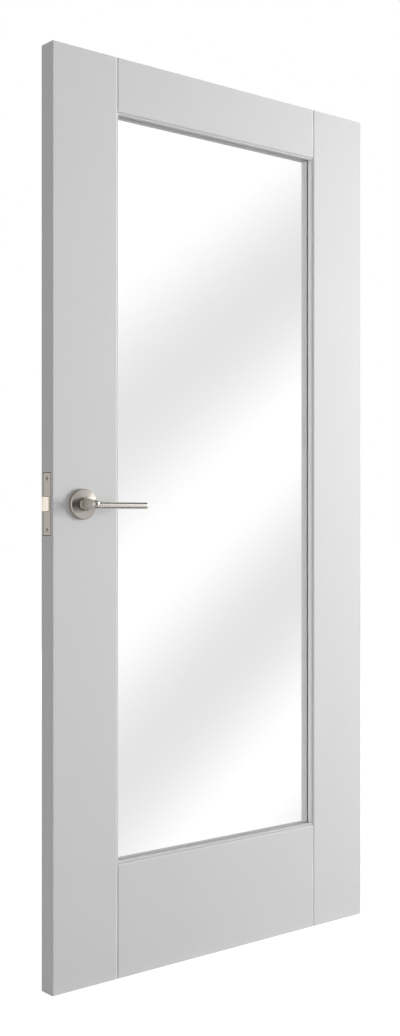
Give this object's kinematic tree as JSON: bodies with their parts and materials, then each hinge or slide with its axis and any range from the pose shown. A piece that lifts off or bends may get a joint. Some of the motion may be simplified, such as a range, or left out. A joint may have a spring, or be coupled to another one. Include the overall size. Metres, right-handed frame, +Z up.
{
  "type": "glazed interior door",
  "caption": "Hinged interior door leaf: painted stile and rail frame round one tall glass pane, with a mortice latch and a lever handle on a round rose on each face.",
  "frame": {"origin": "centre of the bottom hinge's fixed leaf, on the face that is screwed to the door lining", "axes": "+X out of that face towards the lining, so the lock edge is at -X; +Y from the front face of the door to its back face, where the hinge knuckles are; +Z up"},
  "size_m": [0.9315, 0.1648, 1.981],
  "materials": {
    "painted_wood": "satin",
    "painted_bead": "satin",
    "clear_glass": "gloss",
    "glazing_tape": "matte",
    "setting_block": "matte",
    "satin_nickel": "satin",
    "forend_nickel": "satin",
    "bolt_nickel": "satin",
    "zinc_plated_steel": "satin",
    "hinge_steel": "satin"
  },
  "bodies": {
    "fixed_hinge_leaves": {"bottom_hinge_fixed_leaf": "hinge_steel", "bottom_hinge_pin": "hinge_steel", "middle_hinge_fixed_leaf": "hinge_steel", "middle_hinge_pin": "hinge_steel", "top_hinge_fixed_leaf": "hinge_steel", "top_hinge_pin": "hinge_steel"},
    "door_leaf": {"lock_stile": "painted_wood", "hinge_stile": "painted_wood", "top_rail": "painted_wood", "bottom_rail": "painted_wood", "glass_pane": "clear_glass", "setting_blocks": "setting_block", "front_glazing_tape": "glazing_tape", "back_glazing_tape": "glazing_tape", "front_bead_lock_side": "painted_bead", "front_bead_hinge_side": "painted_bead", "front_bead_bottom": "painted_bead", "front_bead_top": "painted_bead", "back_bead_lock_side": "painted_bead", "back_bead_hinge_side": "painted_bead", "back_bead_bottom": "painted_bead", "back_bead_top": "painted_bead", "forend": "forend_nickel", "forend_screws": "forend_nickel", "latch_case": "zinc_plated_steel", "front_rose": "satin_nickel", "back_rose": "satin_nickel", "bottom_hinge_door_leaf": "hinge_steel", "middle_hinge_door_leaf": "hinge_steel", "top_hinge_door_leaf": "hinge_steel"},
    "lever_pair": {"front_lever": "satin_nickel", "back_lever": "satin_nickel", "spindle": "zinc_plated_steel", "latch_follower": "zinc_plated_steel"},
    "latch_bolt": {"latch_bolt": "bolt_nickel"}
  },
  "joints": [
    {"name": "door_swing", "type": "hinge", "parent": "fixed_hinge_leaves", "child": "door_leaf", "pos_m": [-0.004, 0.023, 0], "axis": [0, 0, -1], "range_deg": [0, 110]},
    {"name": "lever_turn", "type": "hinge", "parent": "door_leaf", "child": "lever_pair", "pos_m": [-0.8485, -0.0055, 0.745], "axis": [0, 1, 0], "range_deg": [0, 45], "stiffness_Nm_per_rad": 1.5, "springref_deg": -34.38},
    {"name": "latch_slide", "type": "slide", "parent": "door_leaf", "child": "latch_bolt", "axis": [1, 0, 0], "range_m": [0, 0.009], "stiffness_N_per_m": 500, "springref_m": -0.012}
  ],
  "couplings": [
    {"joint": "latch_slide", "follows": "lever_turn", "m_per_rad": 0.01145}
  ]
}
